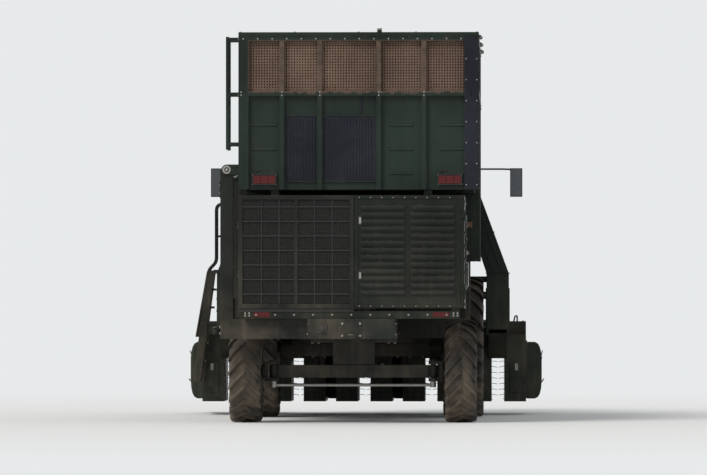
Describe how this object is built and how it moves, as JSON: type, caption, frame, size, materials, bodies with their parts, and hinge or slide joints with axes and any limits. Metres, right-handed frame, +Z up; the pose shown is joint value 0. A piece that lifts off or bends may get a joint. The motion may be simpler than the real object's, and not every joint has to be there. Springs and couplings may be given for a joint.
{
  "type": "cotton harvester",
  "caption": "Self-propelled cotton harvester with picking header, cab, air ducts, screened tilting basket over the engine bay, and steered rear wheels",
  "frame": {"origin": "on the ground under the middle of the machine's length and width", "axes": "+X is the machine's right, +Y is forward, +Z is up"},
  "size_m": [4.8, 8.499, 4.9],
  "materials": {
    "main_frame": "satin",
    "hinge_posts": "satin",
    "basket_rests": "satin",
    "cab_frame": "satin",
    "fan_posts": "satin",
    "lift_ears": "satin",
    "front_axle": "satin",
    "rear_axle": "satin",
    "engine": "matte",
    "bay_deck": "satin",
    "bay_left": "satin",
    "bay_right": "satin",
    "radiator": "matte",
    "tanks": "satin",
    "cab_floor": "satin",
    "cab_shell": "satin",
    "cab_roof": "satin",
    "cab_glass": "clear",
    "cab_seat": "matte",
    "mirrors": "satin",
    "walkway": "satin",
    "air_ducts": "satin",
    "fans": "satin",
    "exhaust": "matte",
    "lamps": "gloss",
    "header_frame": "satin",
    "picking_units": "satin",
    "stalk_lifters": "satin",
    "unit_boots": "satin",
    "picking_drums": "satin",
    "lift_barrels": "satin",
    "lift_rods": "polished",
    "steering_rod": "satin",
    "basket_floor": "satin",
    "basket_side_left": "satin",
    "basket_side_right": "satin",
    "basket_front": "satin",
    "basket_rear": "satin",
    "basket_screens": "rusty",
    "tail_lamps": "gloss",
    "lid_frame": "satin",
    "lid_hinges": "satin",
    "lid_screens": "rusty",
    "tilt_barrels": "satin",
    "tilt_rods": "polished",
    "cab_door": "satin",
    "cab_door_glass": "clear",
    "side_door": "satin",
    "rear_door": "satin",
    "rotary_screen": "matte",
    "front_tyre_left": "matte",
    "front_rim_left": "satin",
    "front_tyre_right": "matte",
    "front_rim_right": "satin",
    "rear_tyre_left": "matte",
    "rear_rim_left": "satin",
    "rear_tyre_right": "matte",
    "rear_rim_right": "satin",
    "knuckle_left": "satin",
    "knuckle_right": "satin"
  },
  "bodies": {
    "chassis": {"main_frame": "main_frame", "hinge_posts": "hinge_posts", "basket_rests": "basket_rests", "cab_frame": "cab_frame", "fan_posts": "fan_posts", "lift_ears": "lift_ears", "front_axle": "front_axle", "rear_axle": "rear_axle", "engine": "engine", "bay_deck": "bay_deck", "bay_left": "bay_left", "bay_right": "bay_right", "radiator": "radiator", "tanks": "tanks", "cab_floor": "cab_floor", "cab_shell": "cab_shell", "cab_roof": "cab_roof", "cab_glass": "cab_glass", "cab_seat": "cab_seat", "mirrors": "mirrors", "walkway": "walkway", "air_ducts": "air_ducts", "fans": "fans", "exhaust": "exhaust", "lamps": "lamps"},
    "front_wheel_left": {"front_tyre_left": "front_tyre_left", "front_rim_left": "front_rim_left"},
    "front_wheel_right": {"front_tyre_right": "front_tyre_right", "front_rim_right": "front_rim_right"},
    "steering_knuckle_left": {"knuckle_left": "knuckle_left"},
    "steering_knuckle_right": {"knuckle_right": "knuckle_right"},
    "rear_wheel_left": {"rear_tyre_left": "rear_tyre_left", "rear_rim_left": "rear_rim_left"},
    "rear_wheel_right": {"rear_tyre_right": "rear_tyre_right", "rear_rim_right": "rear_rim_right"},
    "tie_rod": {"steering_rod": "steering_rod"},
    "header": {"header_frame": "header_frame", "picking_units": "picking_units", "stalk_lifters": "stalk_lifters", "unit_boots": "unit_boots", "picking_drums": "picking_drums"},
    "header_barrels": {"lift_barrels": "lift_barrels"},
    "header_rods": {"lift_rods": "lift_rods"},
    "basket": {"basket_floor": "basket_floor", "basket_side_left": "basket_side_left", "basket_side_right": "basket_side_right", "basket_front": "basket_front", "basket_rear": "basket_rear", "basket_screens": "basket_screens", "tail_lamps": "tail_lamps"},
    "basket_lid": {"lid_frame": "lid_frame", "lid_hinges": "lid_hinges", "lid_screens": "lid_screens"},
    "basket_barrels": {"tilt_barrels": "tilt_barrels"},
    "basket_rods": {"tilt_rods": "tilt_rods"},
    "left_cab_door": {"cab_door": "cab_door", "cab_door_glass": "cab_door_glass"},
    "engine_side_door": {"side_door": "side_door"},
    "engine_rear_door": {"rear_door": "rear_door"},
    "cooling_screen": {"rotary_screen": "rotary_screen"}
  },
  "joints": [
    {"name": "front_wheel_left_spin", "type": "hinge", "parent": "chassis", "child": "front_wheel_left", "pos_m": [-1.35, 0.8, 0.92], "axis": [-1, 0, 0], "continuous": true},
    {"name": "front_wheel_right_spin", "type": "hinge", "parent": "chassis", "child": "front_wheel_right", "pos_m": [1.35, 0.8, 0.92], "axis": [-1, 0, 0], "continuous": true},
    {"name": "steer_left", "type": "hinge", "parent": "chassis", "child": "steering_knuckle_left", "pos_m": [-1, -2.9, 0.64], "axis": [0, 0, 1], "range_deg": [-35, 35]},
    {"name": "steer_right", "type": "hinge", "parent": "chassis", "child": "steering_knuckle_right", "pos_m": [1, -2.9, 0.64], "axis": [0, 0, 1], "range_deg": [-35, 35]},
    {"name": "steer_rod_slide", "type": "slide", "parent": "chassis", "child": "tie_rod", "axis": [1, 0, 0], "range_m": [-0.11, 0.11]},
    {"name": "rear_wheel_left_spin", "type": "hinge", "parent": "steering_knuckle_left", "child": "rear_wheel_left", "pos_m": [-1.35, -2.9, 0.64], "axis": [-1, 0, 0], "continuous": true},
    {"name": "rear_wheel_right_spin", "type": "hinge", "parent": "steering_knuckle_right", "child": "rear_wheel_right", "pos_m": [1.35, -2.9, 0.64], "axis": [-1, 0, 0], "continuous": true},
    {"name": "header_lift", "type": "hinge", "parent": "chassis", "child": "header", "pos_m": [0, 1.35, 0.96], "axis": [1, 0, 0], "range_deg": [0, 18]},
    {"name": "header_barrel_swing", "type": "hinge", "parent": "chassis", "child": "header_barrels", "pos_m": [0.6, 1.3, 0.56], "axis": [1, 0, 0], "range_deg": [0, 13]},
    {"name": "header_rod_slide", "type": "slide", "parent": "header_barrels", "child": "header_rods", "axis": [0, 0.8824, 0.4706], "range_m": [0, 0.096]},
    {"name": "basket_tilt", "type": "hinge", "parent": "chassis", "child": "basket", "pos_m": [-1.55, -1.75, 3.15], "axis": [0, -1, 0], "range_deg": [0, 90]},
    {"name": "basket_barrel_swing", "type": "hinge", "parent": "chassis", "child": "basket_barrels", "pos_m": [-1.1, -1.77, 1.45], "axis": [0, -1, 0], "range_deg": [-10.5, 0]},
    {"name": "basket_rod_slide", "type": "slide", "parent": "basket_barrels", "child": "basket_rods", "axis": [-0.0837, 0, 0.9965], "range_m": [0, 0.81]},
    {"name": "lid_hinge", "type": "hinge", "parent": "basket", "child": "basket_lid", "pos_m": [1.604, -1.6, 4.8], "axis": [0, 1, 0], "range_deg": [0, 75]},
    {"name": "cab_door_hinge", "type": "hinge", "parent": "chassis", "child": "left_cab_door", "pos_m": [-0.864, 3.427, 2.75], "axis": [0, 0, -1], "range_deg": [0, 85]},
    {"name": "side_door_hinge", "type": "hinge", "parent": "chassis", "child": "engine_side_door", "pos_m": [-1.414, -2.057, 2.11], "axis": [0, 0, -1], "range_deg": [0, 90]},
    {"name": "rear_door_hinge", "type": "hinge", "parent": "chassis", "child": "engine_rear_door", "pos_m": [1.406, -4.054, 2.11], "axis": [0, 0, 1], "range_deg": [0, 100]},
    {"name": "cooling_screen_spin", "type": "hinge", "parent": "chassis", "child": "cooling_screen", "pos_m": [1.4, -2.85, 2.13], "axis": [1, 0, 0], "continuous": true}
  ],
  "couplings": [
    {"joint": "steer_right", "follows": "steer_left", "ratio": 1},
    {"joint": "steer_rod_slide", "follows": "steer_left", "m_per_rad": 0.1784},
    {"joint": "header_barrel_swing", "follows": "header_lift", "ratio": 0.7084},
    {"joint": "header_rod_slide", "follows": "header_lift", "m_per_rad": 0.3031},
    {"joint": "basket_barrel_swing", "follows": "basket_tilt", "ratio": -0.116},
    {"joint": "basket_rod_slide", "follows": "basket_tilt", "m_per_rad": 0.514}
  ]
}
